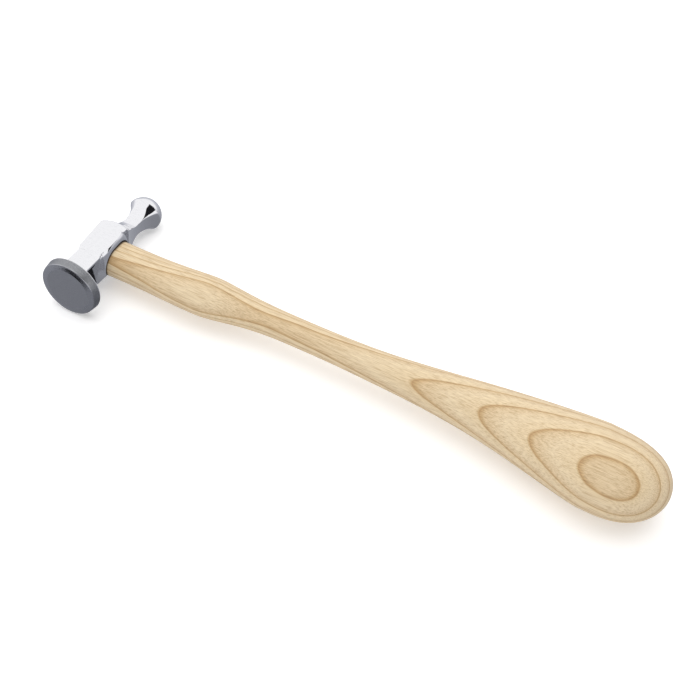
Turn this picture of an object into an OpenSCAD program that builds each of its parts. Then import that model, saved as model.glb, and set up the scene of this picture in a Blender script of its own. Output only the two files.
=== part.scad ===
// Ball peen hammer of the chasing pattern, lying on its cheek.
// Each sub-part is drawn square to the head, then laid down as one:
// x runs along the handle to the butt, y from the striking face to the ball, z up through the cheek.

/* [Head] */
// From the middle of the eye to the flat of the striking face
face_reach = 26.9; // [25:0.1:30]
// Radius of the flat, ground part of the striking face
face_flat_r = 10.1; // [8:0.1:11.5]
// Radius of the ring where the broken edge of the face meets the rim
face_edge_r = 12.7; // [12:0.1:13]
// How far the broken edge falls back from the flat of the face
face_edge_drop = 0.45; // [0.2:0.05:0.8]
// Largest radius of the disc, at the back of its rim
rim_r = 13.2; // [13.1:0.1:15]
// Thickness of the disc from the flat of the face to its back
disc_thick = 4.7; // [4:0.1:6]
// Chamfer on the back edge of the rim
rim_chamfer = 0.4; // [0.2:0.05:0.6]
// Radius the neck behind the disc is turned to
neck_r = 9.8; // [9.4:0.1:10.3]
// Half thickness of that neck across its cheek flats
neck_half_z = 8.3; // [7.8:0.1:8.8]
// Half depth of that neck across its handle side flats
neck_half_x = 5.4; // [5:0.1:5.9]
// From the middle of the eye to the end of the cheek on the face side
cheek_front = 9.6; // [9.2:0.1:10.4]
// From the middle of the eye to where the cheeks start to round off on the ball side
cheek_back = 8.8; // [8.7:0.1:9.3]
// Half thickness of the head across the cheeks
cheek_half_z = 9.7; // [9:0.1:10.3]
// Half depth of the head through the eye
cheek_half_x = 6.3; // [6.3:0.1:7]
// Radius the corners of the cheeks are turned to
cheek_r = 11.5; // [11.2:0.1:11.7]
// How far below the middle the bevels under the head start
bevel_start = 3.5; // [2:0.1:5]
// Half width left between those bevels at the lower cheek
bevel_foot = 2.2; // [1.5:0.1:4]

/* [Ball] */
// From the middle of the eye to the centre of the ball
ball_reach = 30.4; // [29:0.1:33]
// Radius of the ball
ball_r = 7.95; // [7.5:0.05:8.4]
// From the middle of the eye to the waist of the ball's neck
waist_reach = 20.8; // [20.4:0.1:21.2]
// Radius the waist of that neck is turned to
waist_r = 4.4; // [4.2:0.1:4.8]
// Half thickness of the waist across its cheek flats
waist_half_z = 2.8; // [2.6:0.1:3.4]
// Half depth of the waist across its handle side flats
waist_half_x = 3.3; // [3:0.1:3.8]

/* [Eye] */
// Length of the eye along the head
eye_long = 17.2; // [15:0.1:18]
// Width of the eye between the cheeks
eye_wide = 13.2; // [12:0.1:14]

/* [Handle] */
// From the middle of the eye to the butt of the handle
handle_reach = 253.8; // [230:0.5:280]
// From the middle of the eye to the widest part of the shoulder
shoulder_reach = 50.5; // [46:0.5:55]
// From the middle of the eye to the slimmest part of the handle
slim_reach = 96; // [90:1:102]
// From the middle of the eye to where the grip bows out furthest
bow_reach = 172; // [160:1:180]
// Width of the shoulder near the head
shoulder_wide = 19.9; // [18:0.1:22]
// Thickness of the shoulder near the head
shoulder_thick = 15.9; // [14:0.1:18]
// Width of the handle at its waist
waist_wide = 12.6; // [11:0.1:15]
// Thickness of the handle at its waist
waist_thick = 11.6; // [10:0.1:13]
// Width of the bulb
bulb_wide = 37.5; // [33:0.1:40]
// Thickness of the bulb
bulb_thick = 31.8; // [29:0.1:35]
// How far the grip bows toward the ball side
bow = 3.1; // [0:0.1:4]

/* [Wedges] */
// Depth the wooden wedge is driven into the kerf
wood_wedge_deep = 10; // [9:0.1:11]
// Thickness of the wooden wedge at its driven end
wood_wedge_thick = 2.2; // [1.6:0.1:2.6]
// Depth the steel wedge is driven across the wooden one
steel_wedge_deep = 7; // [5:0.1:8]
// Thickness of the steel wedge at its driven end
steel_wedge_thick = 1.6; // [1.2:0.1:2]
// Width of the steel wedge across the tenon
steel_wedge_wide = 7; // [6:0.1:7.2]

/* [Hidden] */
$fn = 96;

// Fits between the disc, the necks and the ball.
disc_back = disc_thick - face_reach;
neck_fillet = 1.5;
step_slope = 0.9;

// Radii of the hollows at the ball's neck: on the cheek side of the waist, then on the ball side.
turned_hollow = [12.4, 19];
z_hollow = [8, 10.6];
x_hollow = [24.7, 28];

// The head rolls until rim and ball both touch the ground, and the handle rises to rest on the bulb.
rim_reach = disc_back - rim_chamfer;
contact_run = ball_reach - rim_reach;
roll = atan(rim_r / contact_run) - asin(ball_r / norm([contact_run, rim_r]));
eye_height = rim_r * cos(roll) + rim_reach * sin(roll);
bulb_at = 0.878;
bulb_drop = norm([bulb_thick * cos(roll), bulb_wide * sin(roll)]) / 2;
pitch = asin((bulb_drop - eye_height) / (bulb_at * handle_reach));
x_mid = (handle_reach * cos(pitch) - rim_r) / 2;
y_mid = ((ball_reach - face_reach) * cos(roll) + ball_r - face_flat_r * sin(roll)) / 2;

// Handle sizes: from the eye out to the shoulder, in to the waist, then out to the bulb.
// Each change goes from 0 to 1, held back at its start by lag and softened at its end by settle.
end_x = cheek_half_x;
bulb_x = bulb_at * handle_reach;
function mix(a, b, t) = a + (b - a) * t;
function part_way(x, from, to) = min(max((x - from) / (to - from), 0), 1);
function ease(x, from, to, lag, settle) = pow(1 - pow(1 - part_way(x, from, to), settle), lag);
eye_size = [eye_long, eye_wide] / 2;
shoulder_size = [shoulder_wide, shoulder_thick] / 2;
waist_size = [waist_wide, waist_thick] / 2;
bulb_size = [bulb_wide, bulb_thick] / 2;
function half_size(x) = eye_size
    + (shoulder_size - eye_size) * ease(x, end_x, shoulder_reach, 3.3, 1.5)
    + (waist_size - shoulder_size) * ease(x, shoulder_reach, slim_reach, 1.9, 3)
    + (bulb_size - waist_size) * ease(x, slim_reach, bulb_x, 2.3, 1.25);

// The grip bows in two steps, two thirds of it before the waist and the rest past it, and comes back at the bulb.
first_bow = 0.65;
function bend_at(x) = bow
    * (first_bow * ease(x, 30, 90, 2, 2) + (1 - first_bow) * ease(x, 122, bow_reach, 2, 2))
    * (1 - ease(x, bow_reach, bulb_x, 1.8, 1.2));

// Handle sections: the eye's outline at the head, turning into an oval by the shoulder.
sides = 48;
body_rings = 62;
nose_rings = 16;
nose_power = 2.8;
function side(a) = abs(cos(a)) < 0.001 ? 0 : sign(cos(a));
function outline(x, half, bend, a) =
    let (flank = (half[0] - half[1]) * side(a), t = part_way(x, end_x, shoulder_reach))
    [x, bend + mix(flank + half[1] * cos(a), half[0] * cos(a), t), half[1] * sin(a)];
function ring(x, half, bend) = [for (j = [0:sides - 1]) outline(x, half, bend, j * 360 / sides)];
function nose(u) =
    let (s = sqrt(1 - pow(u, nose_power)))
    ring(mix(bulb_x, handle_reach, u), bulb_size * s, -0.6 * sin(180 * u));
rings = concat(
    [ring(-end_x, eye_size, 0)],
    [for (i = [0:body_rings])
        let (x = mix(end_x, bulb_x, i / body_rings))
        ring(x, half_size(x), bend_at(x))],
    [for (i = [1:nose_rings - 1]) nose(sin(90 * i / nose_rings))]
);
ring_count = len(rings);
handle_points = concat([for (r = rings) each r], [[handle_reach, 0, 0]]);
handle_faces = concat(
    [[for (j = [0:sides - 1]) j]],
    [for (i = [0:ring_count - 2], j = [0:sides - 1])
        let (k = (j + 1) % sides)
        [i * sides + j, (i + 1) * sides + j, (i + 1) * sides + k, i * sides + k]],
    [for (j = [0:sides - 1])
        [(ring_count - 1) * sides + j, ring_count * sides, (ring_count - 1) * sides + (j + 1) % sides]]
);

// Laid down: every sub-part goes through this one move.
module lying() {
    translate([-x_mid, -y_mid, eye_height])
        rotate([0, -pitch, 0])
            rotate([-roll, 0, 0])
                children();
}

// Half of the turned shape: radius across, height along the head.
module turned_half() {
    polygon([
        [0, -face_reach],
        [face_flat_r, -face_reach],
        [face_edge_r, face_edge_drop - face_reach],
        [rim_r, rim_reach],
        [rim_r - rim_chamfer, disc_back],
        [neck_r + neck_fillet, disc_back],
        [neck_r + neck_fillet, disc_back + neck_fillet],
        [neck_r, disc_back + neck_fillet],
        [neck_r, -cheek_front - step_slope],
        [cheek_r, -cheek_front],
        [cheek_r, cheek_back],
        [ball_r, cheek_back + cheek_r - ball_r],
        [ball_r, ball_reach],
        [0, ball_reach]
    ]);
}

// What is hollowed out beside a waist: two circles that meet at the waist, one to each side of it.
module hollow(waist, radii) {
    for (k = [0, 1])
        intersection() {
            translate([waist + radii[k], waist_reach]) circle(radii[k], $fn = 180);
            translate([waist - 1, waist_reach - 40 * (1 - k)]) square([80, 40]);
        }
}

// The turned body of the head: disc, neck, cheeks, hollow neck and ball.
module turned_body() {
    rotate([-90, 0, 0])
        rotate_extrude()
            difference() {
                union() {
                    turned_half();
                    intersection() {
                        translate([0, ball_reach]) circle(ball_r);
                        translate([0, ball_reach - 1]) square([ball_r + 1, ball_r + 2]);
                    }
                }
                translate([neck_r + neck_fillet, disc_back + neck_fillet]) circle(neck_fillet);
                hollow(waist_r, turned_hollow);
            }
}

// Outline of the ground flats: reach along the head against half size, mirrored.
module flat_outline(neck_half, cheek_half, waist_half, radii) {
    difference() {
        union() {
            translate([-face_reach - 1, -20]) square([disc_thick + 1.6, 40]);
            translate([-face_reach, -neck_half]) square([face_reach, 2 * neck_half]);
            translate([waist_reach, -20]) square([2 * ball_reach, 40]);
            polygon([
                [-cheek_front - step_slope, -neck_half],
                [-cheek_front, -cheek_half],
                [waist_reach, -cheek_half],
                [waist_reach, cheek_half],
                [-cheek_front, cheek_half],
                [-cheek_front - step_slope, neck_half]
            ]);
        }
        mirror([1, -1]) hollow(waist_half, radii);
        mirror([0, 1]) mirror([1, -1]) hollow(waist_half, radii);
    }
}

module cheek_flats() {
    rotate([90, 0, 90])
        linear_extrude(height = 40, center = true)
            flat_outline(neck_half_z, cheek_half_z, waist_half_z, z_hollow);
}

module side_flats() {
    linear_extrude(height = 40, center = true)
        rotate(90)
            flat_outline(neck_half_x, cheek_half_x, waist_half_x, x_hollow);
}

// Waste outside the bevels under the neck and the cheeks, from the disc to where the ball's neck is slim.
module bevel_waste(flanks) {
    slope = (cheek_half_x - bevel_foot) / (cheek_half_z - bevel_start);
    translate([0, 13, 0])
        rotate([90, 0, 0])
            linear_extrude(height = 13 - disc_back)
                for (s = flanks)
                    polygon([
                        [s * (cheek_half_x + slope), 1 - bevel_start],
                        [s * (bevel_foot - slope), -cheek_half_z - 1],
                        [s * 14, -cheek_half_z - 1],
                        [s * 14, 1 - bevel_start]
                    ]);
}

module eye_outline() {
    square([eye_long - eye_wide, eye_wide], center = true);
    for (s = [-1, 1]) translate([s * (eye_long - eye_wide) / 2, 0]) circle(eye_wide / 2);
}

module eye_bore(depth) {
    rotate([90, 0, 90])
        linear_extrude(height = depth, center = true)
            eye_outline();
}

module steel_wedge_shape() {
    linear_extrude(height = steel_wedge_wide, center = true)
        polygon([
            [-end_x, -steel_wedge_thick / 2],
            [-end_x, steel_wedge_thick / 2],
            [steel_wedge_deep - end_x, 0.2],
            [steel_wedge_deep - end_x, -0.2]
        ]);
}

// The saw kerf, opened to the taper of the wedge that fills it.
module kerf() {
    rotate([90, 0, 0])
        linear_extrude(height = 2 * eye_long, center = true)
            polygon([
                [-end_x, -wood_wedge_thick / 2],
                [-end_x, wood_wedge_thick / 2],
                [wood_wedge_deep - end_x, 0.3],
                [wood_wedge_deep - end_x, -0.3]
            ]);
}

// Forged steel head: disc, neck, cheeks with the eye, hollow neck and ball.
module head() {
    color([0.75, 0.76, 0.78])
        lying()
            difference() {
                intersection() {
                    turned_body();
                    cheek_flats();
                    side_flats();
                }
                bevel_waste([-1, 1]);
                eye_bore(4 * end_x);
            }
}

// Ash handle: tenon in the eye, shoulder, waist, bowed grip and bulb.
module handle() {
    color([0.88, 0.78, 0.6])
        lying()
            difference() {
                polyhedron(points = handle_points, faces = handle_faces, convexity = 4);
                kerf();
                steel_wedge_shape();
                bevel_waste([-1]);
            }
}

// Hardwood wedge in the saw kerf, along the long way of the eye.
module wood_wedge() {
    color([0.7, 0.52, 0.33])
        lying()
            difference() {
                intersection() {
                    kerf();
                    eye_bore(4 * end_x);
                }
                steel_wedge_shape();
            }
}

// Steel wedge across the wooden one.
module steel_wedge() {
    color([0.45, 0.45, 0.47])
        lying()
            steel_wedge_shape();
}

head();
handle();
wood_wedge();
steel_wedge();
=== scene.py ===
from math import atan, asin, cos, hypot, pi, radians, sin, sqrt

import bmesh
import bpy
from mathutils import Matrix, Vector


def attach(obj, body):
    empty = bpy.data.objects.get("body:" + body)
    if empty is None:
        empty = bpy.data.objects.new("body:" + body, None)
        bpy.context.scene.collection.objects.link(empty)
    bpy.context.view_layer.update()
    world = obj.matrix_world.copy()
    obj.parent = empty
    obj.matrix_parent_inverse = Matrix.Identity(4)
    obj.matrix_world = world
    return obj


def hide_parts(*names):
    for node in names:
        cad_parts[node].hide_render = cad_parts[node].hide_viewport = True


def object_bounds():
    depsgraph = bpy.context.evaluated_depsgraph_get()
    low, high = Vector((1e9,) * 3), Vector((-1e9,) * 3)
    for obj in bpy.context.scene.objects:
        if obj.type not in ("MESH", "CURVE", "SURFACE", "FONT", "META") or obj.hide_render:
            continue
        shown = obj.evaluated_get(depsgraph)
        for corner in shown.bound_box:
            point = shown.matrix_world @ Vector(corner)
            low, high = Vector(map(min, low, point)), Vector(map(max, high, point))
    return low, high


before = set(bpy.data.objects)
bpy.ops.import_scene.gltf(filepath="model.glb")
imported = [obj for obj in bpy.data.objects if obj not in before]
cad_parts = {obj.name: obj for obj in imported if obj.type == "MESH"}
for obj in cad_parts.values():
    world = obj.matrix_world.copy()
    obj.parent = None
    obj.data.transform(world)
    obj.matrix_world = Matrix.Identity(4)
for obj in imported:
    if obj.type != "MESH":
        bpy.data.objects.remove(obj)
cad_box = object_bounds()

# ----------------------------------------------------------------------------------------------------
# Head: one piece of forged tool steel. It is turned between centres, disc, neck, hollow neck and ball,
# then its cheeks and sides are ground flat and the whole is polished. The striking face and the rim keep
# a fine ground finish.
# ----------------------------------------------------------------------------------------------------
# Sizes are in millimetres from the middle of the eye: x along the handle, y from the face to the ball, z up.
face_y, disc_back_y = -26.9, -22.2
face_flat_r, face_edge_r, face_drop = 10.1, 12.7, 0.45
rim_r, rim_chamfer, neck_fillet = 13.2, 0.4, 1.5
neck_r, neck_half_x, neck_half_z = 9.8, 5.4, 8.3
cheek_front_y, cheek_step, cheek_back_y, cheek_r = -9.6, 1.2, 8.4, 11.9
cheek_half_x, cheek_half_z, cheek_blank_x = 6.3, 9.7, 7.1
bevel_start, bevel_foot, bevel_end_y, neck_bevel_top = 3.5, 2.2, 13, 8
waist_y, waist_r, waist_half_x, waist_half_z = 20.8, 4.4, 3.3, 2.8
turned_hollow, side_hollow, cheek_hollow = (12.4, 16.0), (24.7, 15.0), (8.0, 10.6)
ball_y, ball_r = 30.4, 7.95
eye_half_long, eye_half_wide, eye_chamfer = 8.6, 6.6, 0.5
# The seat round the eye: its middle, its reach, how far it stands out, how far it stays level, and the
# groove past its rim. The side away from the handle tapers toward the face.
seat_y, seat_r, seat_top, seat_level_r, groove_x = -1.2, 12.4, 6.5, 9.3, 5.45
far_side_front, far_side_taper = 5.3, 0.09

# The hammer lies on its rim, its ball and its bulb: every piece is drawn square to the head, then laid
# down by this move.
handle_reach, bulb_at, bulb_half_wide, bulb_half_thick = 253.8, 0.878, 18.75, 15.9
rim_y = disc_back_y - rim_chamfer
roll = atan(rim_r / (ball_y - rim_y)) - asin(ball_r / hypot(ball_y - rim_y, rim_r))
eye_height = rim_r * cos(roll) + rim_y * sin(roll)
bulb_drop = hypot(bulb_half_thick * cos(roll), bulb_half_wide * sin(roll))
pitch = asin((bulb_drop - eye_height) / (bulb_at * handle_reach))
middle_x = (handle_reach * cos(pitch) - rim_r) / 2
middle_y = ((ball_y + face_y) * cos(roll) + ball_r - face_flat_r * sin(roll)) / 2
lie_down = (
    Matrix.Scale(0.001, 4)
    @ Matrix.Translation((-middle_x, -middle_y, eye_height))
    @ Matrix.Rotation(-pitch, 4, "Y")
    @ Matrix.Rotation(-roll, 4, "X")
)


def steps(a, b, count):
    return [a + (b - a) * i / count for i in range(count + 1)]


def arc(centre_r, centre_y, radius, start, end, count):
    turns = [radians(t) for t in steps(start, end, count)]
    return [(centre_r + radius * cos(t), centre_y + radius * sin(t)) for t in turns]


def round_corner(before, corner, after, radius, count=4):
    """A turned corner, broken to a radius."""
    corner = Vector(corner)
    a = (Vector(before) - corner).normalized()
    b = (Vector(after) - corner).normalized()
    start, end = corner + a * radius, corner + b * radius
    return [tuple(start.lerp(corner, t).lerp(corner.lerp(end, t), t)) for t in steps(0, 1, count)]


def softest(limits, sharpness):
    """The nearest limit, with the edge where two meet broken a little."""
    near = min(limits)
    return near * sum((value / near) ** -sharpness for value in limits) ** (-1 / sharpness)


def scoop(y, waist, radii):
    """Half size left by a hollow that has one radius toward the cheeks and another toward the ball."""
    radius, run = radii[y > waist_y], abs(y - waist_y)
    return waist + radius - sqrt(radius**2 - run**2) if run < radius else 99


def turned(y):
    """Radius the blank is turned to from the cheeks to the middle of the ball."""
    return softest((cheek_r, max(cheek_r + cheek_back_y - y, ball_r), scoop(y, waist_r, turned_hollow)), 110)


flat_edge, face_edge = (face_flat_r, face_y), (face_edge_r, face_y + face_drop)
rim_back, disc_corner = (rim_r, rim_y), (rim_r - rim_chamfer, disc_back_y)
fillet_r, fillet_y = neck_r + neck_fillet, disc_back_y + neck_fillet
step_foot, step_top = (neck_r, cheek_front_y - cheek_step), (cheek_r, cheek_front_y)
profile = [(0, face_y)] + [(face_flat_r * t, face_y) for t in (0.25, 0.5, 0.75, 0.93)]
profile += round_corner((0, face_y), flat_edge, face_edge, 0.35)
profile += round_corner(flat_edge, face_edge, rim_back, 0.3)
profile += round_corner(face_edge, rim_back, disc_corner, 0.14)
profile += round_corner(rim_back, disc_corner, (fillet_r, disc_back_y), 0.1)
profile += arc(fillet_r, fillet_y, neck_fillet, 270, 180, 12)
profile += [(neck_r, y) for y in steps(fillet_y, step_foot[1] - 0.3, 30)[1:-1]]
profile += round_corner((neck_r, -20), step_foot, step_top, 0.25)
profile += round_corner(step_foot, step_top, (cheek_r, 0), 0.25)
profile += [(turned(y), y) for y in steps(cheek_front_y + 0.5, cheek_back_y - 0.5, 48)]
profile += [(turned(y), y) for y in steps(cheek_back_y - 0.5, ball_y, 100)[1:]]
for turn in steps(0, 90, 64)[1:-1]:
    y, r = ball_y + ball_r * sin(radians(turn)), ball_r * cos(radians(turn))
    profile.append((softest((r, scoop(y, waist_r, turned_hollow)), 160), y))
profile.append((0, ball_y + ball_r))


def flat_at(y, neck, cheek, waist, hollow):
    """Half size of a pair of ground flats, at a place along the head."""
    if y < disc_back_y + neck_fillet:
        lift = neck_fillet - max(y - disc_back_y, 0)
        return neck + neck_fillet - sqrt(neck_fillet**2 - lift**2) if y >= disc_back_y - 0.01 else 99
    if y < cheek_front_y:
        rise = max(0, 1 - (cheek_front_y - y) / cheek_step)
        return neck + (cheek - neck) * rise**2 * (3 - 2 * rise)
    return min(cheek if y < waist_y else 99, scoop(y, waist, hollow))


def seat_at(y, z):
    """How far the side by the handle stands out: a domed seat round the eye, with a groove at its rim."""
    from_eye = hypot(y - seat_y, z)
    if from_eye > seat_r:
        return groove_x
    top = seat_top - 0.11 * max(from_eye - seat_level_r, 0) ** 2 - 0.045 * (y - seat_y)
    return top - 0.55 * max(abs(z) - 8.6, 0)


def grind(v):
    """Takes a point of the turned shape in to the cheek flats, the side flats and the bevels underneath."""
    across, y = hypot(v.co.x, v.co.z), v.co.y
    if across < 0.001 or y < disc_back_y - 0.01:
        return
    side = flat_at(y, neck_half_x, cheek_blank_x, waist_half_x, side_hollow)
    cheek = flat_at(y, neck_half_z, cheek_half_z, waist_half_z, cheek_hollow)
    limits = [across, side * across / max(abs(v.co.x), 0.01), cheek * across / max(abs(v.co.z), 0.01)]
    on_cheek = y > cheek_front_y - cheek_step / 2
    if y < bevel_end_y:
        top, half = (-bevel_start, cheek_half_x) if on_cheek else (neck_bevel_top, neck_half_x)
        lean = (half - bevel_foot) / (cheek_half_z + top)
        limits.append((half - lean * top) * across / max(abs(v.co.x) - lean * v.co.z, 0.01))
    ground = softest(limits, 50)
    v.co.x *= ground / across
    v.co.z *= ground / across
    if on_cheek and y < cheek_back_y + 1:
        if v.co.x > 0.5:
            v.co.x = softest((v.co.x, seat_at(y, v.co.z)), 90)
        elif v.co.x < -0.5:
            v.co.x = -softest((-v.co.x, far_side_front + far_side_taper * (y - cheek_front_y)), 90)


def spun(outline, axis, count):
    """A closed shape spun from a profile of (radius, place along the axis)."""
    bm = bmesh.new()
    side = Vector((0, 0, 1))
    dots = [bm.verts.new(side * r + axis * place) for r, place in outline]
    lines = [bm.edges.new(pair) for pair in zip(dots, dots[1:])]
    whole = dots + lines
    bmesh.ops.spin(bm, geom=whole, axis=axis, cent=(0, 0, 0), steps=count, angle=2 * pi, use_merge=True)
    bmesh.ops.remove_doubles(bm, verts=bm.verts, dist=0.0005)
    return bm


def finish_mesh(bm, name, move, crease=40):
    """Lays the shape down, turns its faces outwards, and makes it a piece with clean edges."""
    bmesh.ops.recalc_face_normals(bm, faces=bm.faces)
    bmesh.ops.transform(bm, matrix=move, verts=bm.verts)
    mesh = bpy.data.meshes.new(name)
    bm.to_mesh(mesh)
    bm.free()
    mesh.shade_smooth()
    mesh.set_sharp_from_angle(angle=radians(crease))
    piece = bpy.data.objects.new(name, mesh)
    bpy.context.scene.collection.objects.link(piece)
    return piece


def oval_bar(ends):
    """A bar along x with the eye's oval section, through (x, growth of the section) in turn."""
    bm = bmesh.new()
    ring = bmesh.ops.create_circle(
        bm, segments=96, radius=1, matrix=Matrix.Rotation(pi / 2, 4, "Y") @ Matrix.Rotation(pi / 96, 4, "Z")
    )["verts"]
    turns = [(v.co.y, v.co.z) for v in ring]
    flank = eye_half_long - eye_half_wide
    edges = list(bm.edges)
    for i, (x, grow) in enumerate(ends):
        if i:
            made = bmesh.ops.extrude_edge_only(bm, edges=edges)["geom"]
            edges = [g for g in made if isinstance(g, bmesh.types.BMEdge)]
            fresh = [g for g in made if isinstance(g, bmesh.types.BMVert)]
            before = [v.co.copy() for v in ring]
            ring = [min(fresh, key=lambda v, old=old: (v.co - old).length) for old in before]
        for v, (y, z) in zip(ring, turns):
            v.co = (x, (eye_half_wide + grow) * y + flank * (1 if y > 0 else -1), (eye_half_wide + grow) * z)
    bmesh.ops.holes_fill(bm, edges=bm.edges)
    return bm


def carve(piece, *tools):
    """Cuts the tools out of a piece, and puts the tools away."""
    for tool in tools:
        cut = piece.modifiers.new("cut", "BOOLEAN")
        cut.operation, cut.object, cut.solver = "DIFFERENCE", tool, "EXACT"
    whole = piece.data
    piece.data = bpy.data.meshes.new_from_object(piece.evaluated_get(bpy.context.evaluated_depsgraph_get()))
    piece.modifiers.clear()
    bpy.data.meshes.remove(whole)
    for tool in tools:
        bpy.data.meshes.remove(tool.data)


blank = spun(profile, Vector((0, 1, 0)), 288)
for vert in blank.verts:
    grind(vert)
head = finish_mesh(blank, "hammer_head", lie_down)
half_depth = cheek_half_x - eye_chamfer
eye_ends = [(-half_depth - 3, 3), (-half_depth, 0), (half_depth + 0.4, 0), (half_depth + 3.4, 3)]
eye_tool = finish_mesh(oval_bar(eye_ends), "eye_tool", lie_down)
carve(head, eye_tool)
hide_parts("head")
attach(head, "root")


def node(tree, kind, settings=None, **values):
    """A shader node with its settings, and a value or a link for each named input."""
    made = tree.nodes.new(kind)
    for key, value in (settings or {}).items():
        setattr(made, key, value)
    for key, value in values.items():
        by_number = key[0] == "i" and key[1:].isdigit()
        socket = made.inputs[int(key[1:]) if by_number else key.replace("_", " ")]
        if isinstance(value, bpy.types.NodeSocket):
            tree.links.new(value, socket)
        else:
            socket.default_value = value
    return made


def math(tree, how, a, b=0.0, c=0.0):
    return node(tree, "ShaderNodeMath", {"operation": how}, i0=a, i1=b, i2=c).outputs[0]


def ramp(tree, value, stops, how="LINEAR"):
    made = node(tree, "ShaderNodeValToRGB", None, Fac=value)
    made.color_ramp.interpolation = how
    while len(made.color_ramp.elements) < len(stops):
        made.color_ramp.elements.new(0.5)
    for element, (place, colour) in zip(made.color_ramp.elements, stops):
        element.position = place
        element.color = (*colour, 1) if isinstance(colour, tuple) else (colour, colour, colour, 1)
    return made.outputs["Color"]


def bare_material(name):
    made = bpy.data.materials.new(name)
    made.use_nodes = True
    made.node_tree.nodes.clear()
    return made, made.node_tree


def square_up(tree):
    """Object coordinates turned back square to the head, in millimetres from the middle of the eye."""
    place = node(tree, "ShaderNodeTexCoord").outputs["Object"]
    return node(
        tree, "ShaderNodeMapping", {"vector_type": "TEXTURE"}, Vector=place,
        Location=lie_down.translation, Rotation=lie_down.to_euler(), Scale=(0.001, 0.001, 0.001),
    ).outputs["Vector"]


def mix(tree, amount, a, b, kind="RGBA", how="MIX"):
    made = node(tree, "ShaderNodeMix", {"data_type": kind, "blend_type": how}, i0=amount)
    first = {"FLOAT": 2, "VECTOR": 4, "RGBA": 6}[kind]
    for index, value in ((first, a), (first + 1, b)):
        if isinstance(value, bpy.types.NodeSocket):
            tree.links.new(value, made.inputs[index])
        else:
            made.inputs[index].default_value = value
    return made.outputs[{"FLOAT": 0, "VECTOR": 1, "RGBA": 2}[kind]]


def effect(name, inputs, outputs):
    """An empty shader node group with named inputs and outputs, and its two ends."""
    group = bpy.data.node_groups.new(name, "ShaderNodeTree")
    for way, names in (("INPUT", inputs), ("OUTPUT", outputs)):
        for label, kind in names:
            group.interface.new_socket(label, in_out=way, socket_type=kind)
    return group, node(group, "NodeGroupInput").outputs, node(group, "NodeGroupOutput").inputs


# Fine scratches that run one way, in patches, as emery cloth leaves them: used by both steels.
scratches, given, out = effect(
    "fine_scratches", [("Place", "NodeSocketVector"), ("Size", "NodeSocketFloat")],
    [("Mask", "NodeSocketFloat"), ("Cloud", "NodeSocketFloat")],
)
drawn_out = node(
    scratches, "ShaderNodeMapping", None, Vector=given["Place"], Scale=(0.25, 6.0, 4.0)
).outputs[0]
lines = node(
    scratches, "ShaderNodeTexNoise", None, Vector=drawn_out, Scale=given["Size"], Detail=2.0
).outputs["Fac"]
cloud = node(
    scratches, "ShaderNodeTexNoise", None, Vector=given["Place"], Scale=0.4, Detail=3.0
).outputs["Fac"]
scratches.links.new(
    math(scratches, "MULTIPLY", ramp(scratches, lines, [(0.56, 0.0), (0.66, 1.0)]), cloud), out["Mask"]
)
scratches.links.new(cloud, out["Cloud"])

steel, tree = bare_material("polished_steel")
place = square_up(tree)
axes = node(tree, "ShaderNodeSeparateXYZ", None, Vector=place).outputs
on_disc = ramp(tree, math(tree, "MULTIPLY_ADD", axes["Y"], -0.1, -1.7), [(0.58, 0.0), (0.588, 1.0)])
square_z = math(tree, "POWER", axes["Z"], 2.0)
from_axis = math(tree, "SQRT", math(tree, "ADD", math(tree, "POWER", axes["X"], 2.0), square_z))
on_rim = ramp(tree, math(tree, "MULTIPLY", from_axis, 0.05), [(0.633, 0.0), (0.637, 1.0)])
# Painted shade: a near-black band on the steel round the mouth of the eye, standing in for the shadow in the
# crease where the handle enters.
past_flank = math(tree, "SUBTRACT", math(tree, "ABSOLUTE", axes["Y"]), eye_half_long - eye_half_wide)
past_middle = math(tree, "MAXIMUM", past_flank, 0.0)
from_oval = math(tree, "SQRT", math(tree, "ADD", math(tree, "POWER", past_middle, 2.0), square_z))
crease_shade = ramp(tree, math(tree, "MULTIPLY_ADD", from_oval, 0.5, -3.2), [(0.35, 1.0), (0.55, 0.0)])
worn = node(tree, "ShaderNodeGroup", {"node_tree": scratches}, Place=place, Size=1.6).outputs
speck = node(
    tree, "ShaderNodeTexNoise", None, Vector=place, Scale=2.2, Detail=5.0, Roughness=0.75
).outputs["Fac"]
face_grey = ramp(tree, speck, [(0.3, (0.46, 0.465, 0.49)), (0.7, (0.58, 0.585, 0.61))])
rim_grey = ramp(tree, speck, [(0.32, (0.2, 0.205, 0.22)), (0.68, (0.42, 0.425, 0.44))])
bright = mix(tree, worn["Mask"], (0.86, 0.86, 0.875, 1), (0.7, 0.7, 0.72, 1))
colour = mix(tree, on_disc, bright, mix(tree, on_rim, face_grey, rim_grey))
# Painted shade: the steel at the crease round the eye's mouth is coloured near black.
colour = mix(tree, crease_shade, colour, (0.03, 0.022, 0.016, 1))
scratched = math(tree, "MULTIPLY_ADD", worn["Mask"], 0.1, 0.03)
polish = math(tree, "MULTIPLY_ADD", worn["Cloud"], 0.08, scratched)
edge_band = [(0.508, 0.0), (0.513, 1.0), (0.631, 1.0), (0.636, 0.0)]
on_edge = ramp(tree, math(tree, "MULTIPLY", from_axis, 0.05), edge_band)
satin = mix(tree, on_edge, math(tree, "MULTIPLY_ADD", speck, 0.16, 0.3), 0.1, "FLOAT")
rough = mix(tree, on_disc, polish, satin, "FLOAT")
rough = mix(tree, crease_shade, rough, 0.6, "FLOAT")
waves = node(tree, "ShaderNodeTexNoise", None, Vector=place, Scale=0.28, Detail=1.0).outputs["Fac"]
height = math(tree, "MULTIPLY_ADD", math(tree, "MULTIPLY", speck, on_disc), 0.6, waves)
bump = node(tree, "ShaderNodeBump", None, Height=height, Strength=0.5, Distance=0.00012).outputs["Normal"]
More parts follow.
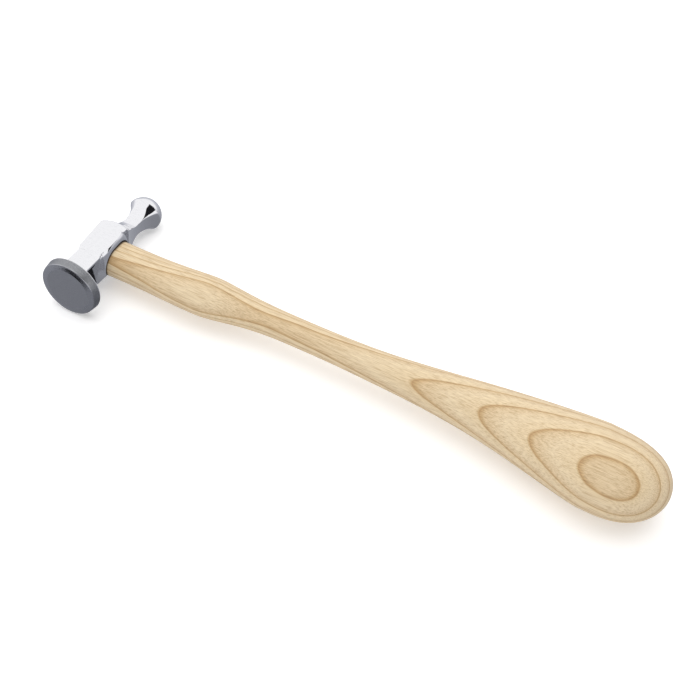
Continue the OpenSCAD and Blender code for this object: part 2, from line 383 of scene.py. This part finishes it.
shader = node(
    tree, "ShaderNodeBsdfPrincipled", None, Base_Color=colour, Metallic=1.0, Roughness=rough, Normal=bump
).outputs[0]
node(tree, "ShaderNodeOutputMaterial", None, Surface=shader)
head.data.materials.clear()
head.data.materials.append(steel)

# ----------------------------------------------------------------------------------------------------
# Handle: one stick of ash, turned and shaved to an oval with a shoulder, a slim waist and a bowed grip that
# swells to a bulb. Its tenon fills the eye and is sawn down the middle for the wedges. Sanded, then one
# coat of clear lacquer.
# ----------------------------------------------------------------------------------------------------
shoulder_x, slim_x, bow_x, bulb_x = 50.5, 96, 172, bulb_at * handle_reach
bow, first_bow = 3.1, 0.65
eye_size, shoulder_size = Vector((eye_half_long, eye_half_wide)), Vector((9.95, 7.95))
waist_size, bulb_size = Vector((6.3, 5.8)), Vector((bulb_half_wide, bulb_half_thick))


def part_way(x, start, end):
    return min(max((x - start) / (end - start), 0), 1)


def ease(x, start, end, lag, settle):
    """From 0 to 1, held back at the start by lag and softened at the end by settle."""
    return (1 - (1 - part_way(x, start, end)) ** settle) ** lag


def half_size(x):
    """Half width and half thickness: out to the shoulder, in to the waist, then out to the bulb."""
    size = eye_size.lerp(shoulder_size, ease(x, cheek_half_x, shoulder_x, 3.3, 1.5))
    size = size.lerp(waist_size, ease(x, shoulder_x, slim_x, 1.9, 3))
    return size.lerp(bulb_size, ease(x, slim_x, bulb_x, 2.3, 1.25))


def bend_at(x):
    """The grip bows in two steps, one before the waist and one past it, and comes back at the bulb."""
    out = first_bow * ease(x, 30, 90, 2, 2) + (1 - first_bow) * ease(x, 122, bow_x, 2, 2)
    return bow * out * (1 - ease(x, bow_x, bulb_x, 1.8, 1.2))


def shave(v):
    """Moves a point of the turned blank to the handle's section, from the eye's outline to an oval."""
    x, across = v.co.x, hypot(v.co.y, v.co.z)
    if across < 0.001:
        return
    c, s = v.co.y / across, v.co.z / across
    if x <= cheek_half_x:
        wide, thick, bend, oval = eye_half_long, eye_half_wide, 0, 0
    elif x <= bulb_x:
        (wide, thick), bend = half_size(x), bend_at(x)
        oval = part_way(x, cheek_half_x, shoulder_x)
    else:
        u = (x - bulb_x) / (handle_reach - bulb_x)
        wide, thick, bend, oval = bulb_half_wide, bulb_half_thick, -0.6 * sin(pi * u), 1
    side = max(-1, min(1, c * 40))
    flank = (wide - thick) * side
    v.co.y = bend + across * ((flank + thick * c) * (1 - oval) + wide * c * oval)
    v.co.z = across * thick * s
    if x < 0 and v.co.z < -bevel_start:
        lean = (cheek_half_x - bevel_foot) / (cheek_half_z - bevel_start)
        v.co.x = max(x, -cheek_half_x - lean * (v.co.z + bevel_start) + 0.02 * (x + cheek_half_x))


stick = [(0, -cheek_half_x), (0.5, -cheek_half_x), (1, -cheek_half_x)]
stick += [(1, x) for x in steps(-cheek_half_x, cheek_half_x, 10)[1:]]
stick += [(1, x) for x in steps(cheek_half_x, bulb_x, 170)[1:]]
for step in range(1, 33):
    run = sin(pi / 2 * step / 32)
    stick.append((sqrt(1 - run**2.8), bulb_x + run * (handle_reach - bulb_x)))
stick[-1] = (0, handle_reach)
blank = spun(stick, Vector((1, 0, 0)), 128)
for vert in blank.verts:
    shave(vert)
handle = finish_mesh(blank, "ash_handle", lie_down)


def wedge_tool(depth, thick, tip, breadth, turn):
    """A tapered plate driven into the tenon from the top of the head."""
    bm = bmesh.new()
    bmesh.ops.create_cube(bm, size=1)
    for v in bm.verts:
        inner = v.co.x > 0
        half = tip if inner else thick / 2 + (thick / 2 - tip) / depth
        v.co = (depth - cheek_half_x if inner else -cheek_half_x - 1, v.co.y * breadth, v.co.z * 2 * half)
    bmesh.ops.transform(bm, matrix=Matrix.Rotation(turn, 4, "X"), verts=bm.verts)
    return finish_mesh(bm, "wedge_tool", lie_down)


kerf = wedge_tool(depth=10, thick=2.2, tip=0.3, breadth=4 * eye_half_long, turn=0)
steel_slot = wedge_tool(depth=7, thick=1.6, tip=0.2, breadth=7, turn=pi / 2)
carve(handle, kerf, steel_slot)
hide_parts("handle")
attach(handle, "root")
# The handle is kept out of the reflections in the polished steel.
handle.visible_glossy = False

# Wood fibre and open pores, drawn out along the grain: used by the handle and the wooden wedge.
wood_fibre, given, out = effect(
    "wood_fibre", [("Place", "NodeSocketVector")],
    [("Fibre", "NodeSocketFloat"), ("Pores", "NodeSocketFloat")],
)
long_fibres = node(
    wood_fibre, "ShaderNodeMapping", None, Vector=given["Place"], Scale=(0.11, 3.0, 3.0)
).outputs[0]
fibre = node(
    wood_fibre, "ShaderNodeTexNoise", None, Vector=long_fibres, Scale=1.0, Detail=4.0, Roughness=0.6
).outputs["Fac"]
short_pores = node(
    wood_fibre, "ShaderNodeMapping", None, Vector=given["Place"], Scale=(0.35, 4.5, 4.5)
).outputs[0]
pores = node(
    wood_fibre, "ShaderNodeTexNoise", None, Vector=short_pores, Scale=1.0, Detail=1.0
).outputs["Fac"]
wood_fibre.links.new(fibre, out["Fibre"])
wood_fibre.links.new(ramp(wood_fibre, pores, [(0.57, 0.0), (0.66, 1.0)]), out["Pores"])

ash, tree = bare_material("ash")
place = square_up(tree)
wander = node(
    tree, "ShaderNodeTexNoise", None, Scale=0.03, Detail=2.0,
    Vector=node(tree, "ShaderNodeMapping", None, Vector=place, Scale=(0.6, 1.5, 1.5)).outputs[0],
).outputs["Fac"]
across_layers = (0.042, -0.616, 0.788)
layer = node(tree, "ShaderNodeVectorMath", {"operation": "DOT_PRODUCT"}, i0=place, i1=across_layers)
depth = math(tree, "MULTIPLY_ADD", wander, 1.6, layer.outputs["Value"])
# The tree grew slowly at first and then fast: the years are narrow below the change and wide above it.
change_at, narrow_year, wide_year = 8.9, 1.7, 4.3
above = math(tree, "SUBTRACT", depth, change_at)
slow = math(tree, "DIVIDE", math(tree, "MINIMUM", above, 0.0), narrow_year)
fast = math(tree, "DIVIDE", math(tree, "MAXIMUM", above, 0.0), wide_year)
ring = math(tree, "FRACT", math(tree, "ADD", slow, fast))
grain = node(tree, "ShaderNodeGroup", {"node_tree": wood_fibre}, Place=place).outputs
tone = ramp(tree, ring, [
    (0.0, (0.47, 0.29, 0.13)), (0.04, (0.56, 0.38, 0.19)), (0.12, (0.68, 0.52, 0.32)),
    (0.5, (0.76, 0.62, 0.42)), (0.95, (0.74, 0.59, 0.38)), (1.0, (0.55, 0.37, 0.18)),
])
streak = ramp(tree, grain["Fibre"], [
    (0.32, (0.7, 0.6, 0.46)), (0.5, (0.97, 0.95, 0.9)), (0.66, (1.1, 1.1, 1.08)),
])
porous = ramp(tree, ring, [(0.0, 1.0), (0.3, 0.7), (0.6, 0.15), (1.0, 0.3)])
colour = mix(tree, 0.8, tone, streak, how="MULTIPLY")
open_pores = math(tree, "MULTIPLY", grain["Pores"], math(tree, "MULTIPLY", porous, 0.55))
colour = mix(tree, open_pores, colour, (0.36, 0.22, 0.1, 1))
# Painted shade: the wood is darkened just where it leaves the eye, standing in for the shadow in the crease
# against the head.
along_stick = node(tree, "ShaderNodeSeparateXYZ", None, Vector=place).outputs["X"]
from_mouth = math(tree, "ABSOLUTE", math(tree, "SUBTRACT", along_stick, cheek_half_x))
colour = mix(tree, ramp(tree, from_mouth, [(0.4, 0.85), (0.9, 0.0)]), colour, (0.06, 0.035, 0.02, 1))
height = math(tree, "MULTIPLY_ADD", grain["Pores"], -0.6, grain["Fibre"])
bump = node(tree, "ShaderNodeBump", None, Height=height, Strength=0.35, Distance=0.00012).outputs["Normal"]
rough = math(tree, "MULTIPLY_ADD", grain["Fibre"], 0.2, 0.38)
shader = node(
    tree, "ShaderNodeBsdfPrincipled", None, Base_Color=colour, Roughness=rough, Normal=bump,
    Coat_Weight=0.15, Coat_Roughness=0.35,
).outputs[0]
node(tree, "ShaderNodeOutputMaterial", None, Surface=shader)
handle.data.materials.clear()
handle.data.materials.append(ash)

# ----------------------------------------------------------------------------------------------------
# Wooden wedge: a darker sliver of hardwood, split with the grain and driven into the saw kerf, then sawn
# off flush with the tenon. Its end grain has soaked up glue and dirt.
# ----------------------------------------------------------------------------------------------------
wedge_wood, tree = bare_material("wedge_wood")
place = square_up(tree)
grain = node(tree, "ShaderNodeGroup", {"node_tree": wood_fibre}, Place=place).outputs
colour = ramp(tree, grain["Fibre"], [
    (0.3, (0.2, 0.1, 0.045)), (0.55, (0.34, 0.19, 0.09)), (0.75, (0.42, 0.26, 0.13)),
])
colour = mix(tree, math(tree, "MULTIPLY", grain["Pores"], 0.7), colour, (0.09, 0.045, 0.02, 1))
bump = node(
    tree, "ShaderNodeBump", None, Height=grain["Fibre"], Strength=0.5, Distance=0.00015
).outputs["Normal"]
rough = math(tree, "MULTIPLY_ADD", grain["Fibre"], 0.2, 0.55)
shader = node(
    tree, "ShaderNodeBsdfPrincipled", None, Base_Color=colour, Roughness=rough, Normal=bump
).outputs[0]
node(tree, "ShaderNodeOutputMaterial", None, Surface=shader)
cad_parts["wood_wedge"].data.materials.clear()
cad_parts["wood_wedge"].data.materials.append(wedge_wood)

# ----------------------------------------------------------------------------------------------------
# Steel wedge: a plain mild steel wedge as cut from bar, driven across the wooden one and filed flush. Its
# filed end is scratched, with a trace of brown in the low spots.
# ----------------------------------------------------------------------------------------------------
wedge_steel, tree = bare_material("wedge_steel")
place = square_up(tree)
worn = node(tree, "ShaderNodeGroup", {"node_tree": scratches}, Place=place, Size=3.0).outputs
colour = mix(tree, worn["Mask"], (0.36, 0.355, 0.36, 1), (0.6, 0.6, 0.61, 1))
stain = ramp(tree, worn["Cloud"], [(0.5, 0.0), (0.75, 0.8)])
colour = mix(tree, stain, colour, (0.2, 0.11, 0.06, 1))
rough = math(tree, "MULTIPLY_ADD", stain, 0.3, 0.35)
bump = node(
    tree, "ShaderNodeBump", None, Height=worn["Mask"], Strength=0.4, Distance=0.00005
).outputs["Normal"]
shader = node(
    tree, "ShaderNodeBsdfPrincipled", None, Base_Color=colour, Metallic=1.0, Roughness=rough, Normal=bump
).outputs[0]
node(tree, "ShaderNodeOutputMaterial", None, Surface=shader)
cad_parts["steel_wedge"].data.materials.clear()
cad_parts["steel_wedge"].data.materials.append(wedge_steel)

# ----------------------------------------------------------------------------------------------------
# Studio: a plain pale floor under the hammer, a broad soft light overhead and a pale surround. The camera
# looks down on the face, the upper cheek and the side of the handle.
# ----------------------------------------------------------------------------------------------------
floor_bm = bmesh.new()
bmesh.ops.create_grid(floor_bm, x_segments=1, y_segments=1, size=4)
floor = finish_mesh(floor_bm, "floor", Matrix.Translation((0, 0, cad_box[0][2])))
paper, tree = bare_material("pale_paper")
shader = node(
    tree, "ShaderNodeBsdfPrincipled", None, Base_Color=(0.86, 0.86, 0.86, 1), Roughness=0.9,
    Emission_Color=(1, 1, 1, 1), Emission_Strength=0.3,
).outputs[0]
node(tree, "ShaderNodeOutputMaterial", None, Surface=shader)
floor.data.materials.append(paper)
floor.visible_glossy = False

lens = bpy.data.cameras.new("camera")
lens.lens, lens.sensor_width, lens.clip_start = 56, 36, 0.01
camera = bpy.data.objects.new("camera", lens)
camera.location = (0.08653, -0.25792, 0.36688)
camera.rotation_euler = (radians(37.354), radians(-5.136), radians(26.172))
bpy.context.scene.collection.objects.link(camera)
bpy.context.scene.camera = camera

world = bpy.data.worlds.new("studio")
world.use_nodes = True
tree = world.node_tree
tree.nodes.clear()
way = node(tree, "ShaderNodeTexCoord").outputs["Generated"]
axes = node(tree, "ShaderNodeSeparateXYZ", None, Vector=way).outputs
sky = ramp(tree, math(tree, "MULTIPLY_ADD", axes["Z"], 0.5, 0.5), [
    (0.0, (0.24, 0.245, 0.27)), (0.17, (0.315, 0.325, 0.36)), (0.33, (0.38, 0.39, 0.43)),
    (0.46, (0.5, 0.51, 0.55)), (0.53, (0.8, 0.8, 0.84)), (0.62, (1.03, 1.03, 1.04)),
])
# The lower half is lighter toward the back and past the head's end, and dark flags give the polished
# steel its black edges.
leftward = math(tree, "MULTIPLY_ADD", axes["X"], -0.28, 1.0)
lean = math(tree, "MULTIPLY_ADD", axes["Y"], 0.22, leftward)
below = ramp(tree, math(tree, "MULTIPLY_ADD", axes["Z"], 0.5, 0.5), [(0.42, 1.0), (0.52, 0.0)])
sky = mix(tree, 1.0, sky, mix(tree, below, 1.0, lean, "FLOAT"), how="MULTIPLY")
# Each flag stands where a part of the steel mirrors it into the lens: the way that part faces, and how
# wide the flag is in degrees.
from_lens = (lie_down.translation - camera.location).normalized()
upright = lie_down.to_3x3().normalized()
neck_lean = (neck_half_x - bevel_foot) / (cheek_half_z + neck_bevel_top)
edge_fall, edge_turn = face_drop / (face_edge_r - face_flat_r), radians(20)
on_ball = [((5, -5, 7), 23), ((6, -3, 7), 14), ((3, -7, 6), 10), ((0, -8, 6), 11)]
on_corner = [((sin(radians(turn)), 0, cos(radians(turn))), 6) for turn in (38, 46, 55)]
on_neck_side = (1, 0, -neck_lean)
on_face_edge = (edge_fall * sin(edge_turn), -1, edge_fall * cos(edge_turn))
for facing, spread in on_ball + on_corner + [(on_neck_side, 6), (on_face_edge, 8)]:
    toward = from_lens.reflect(upright @ Vector(facing).normalized())
    near = node(tree, "ShaderNodeVectorMath", {"operation": "DOT_PRODUCT"}, i0=way, i1=toward)
    inside, outside = cos(radians(spread)), cos(radians(spread + 2.5))
    shade = node(
        tree, "ShaderNodeMapRange", {"interpolation_type": "SMOOTHSTEP"},
        Value=near.outputs["Value"], From_Min=outside, From_Max=inside,
    ).outputs[0]
    sky = mix(tree, shade, sky, (0.012, 0.012, 0.014, 1))
glow = node(tree, "ShaderNodeBackground", None, Color=sky, Strength=1.0).outputs[0]
node(tree, "ShaderNodeOutputWorld", None, Surface=glow)
bpy.context.scene.world = world

lamp = bpy.data.lights.new("softbox", "AREA")
lamp.shape, lamp.size, lamp.energy = "SQUARE", 1.2, 7
softbox = bpy.data.objects.new("softbox", lamp)
softbox.location = (-0.2, 0.1, 1.2)
softbox.rotation_euler = (Vector((0, 0, 0)) - softbox.location).to_track_quat("-Z", "Y").to_euler()
softbox.visible_glossy = False
bpy.context.scene.collection.objects.link(softbox)

bpy.context.scene.view_settings.view_transform = "Standard"
